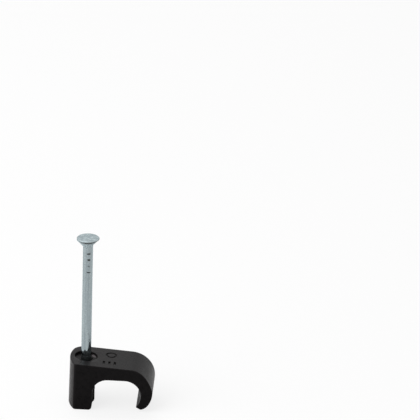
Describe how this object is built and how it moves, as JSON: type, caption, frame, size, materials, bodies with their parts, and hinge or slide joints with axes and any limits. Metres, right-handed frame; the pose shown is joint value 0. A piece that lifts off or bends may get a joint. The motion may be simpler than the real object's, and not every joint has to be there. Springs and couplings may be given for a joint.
{
  "type": "nail-in cable clip",
  "caption": "Moulded plastic hook clip with a flat-headed steel nail standing in its leg, nailed to a wall to hold a cable in its open channel.",
  "frame": {"origin": "where the nail's axis meets the wall plane, which is the underside of the clip's leg", "axes": "+Z away from the wall, up the nail to its head; +X from the nail to the hook; Y along the cable"},
  "size_m": [0.0172, 0.0088, 0.0359],
  "materials": {
    "black_plastic": "satin moulded",
    "zinc_steel": "bright zinc plate, drawn along the shank"
  },
  "bodies": {
    "root": {"clip_body": "black_plastic", "nail": "zinc_steel"}
  },
  "joints": []
}
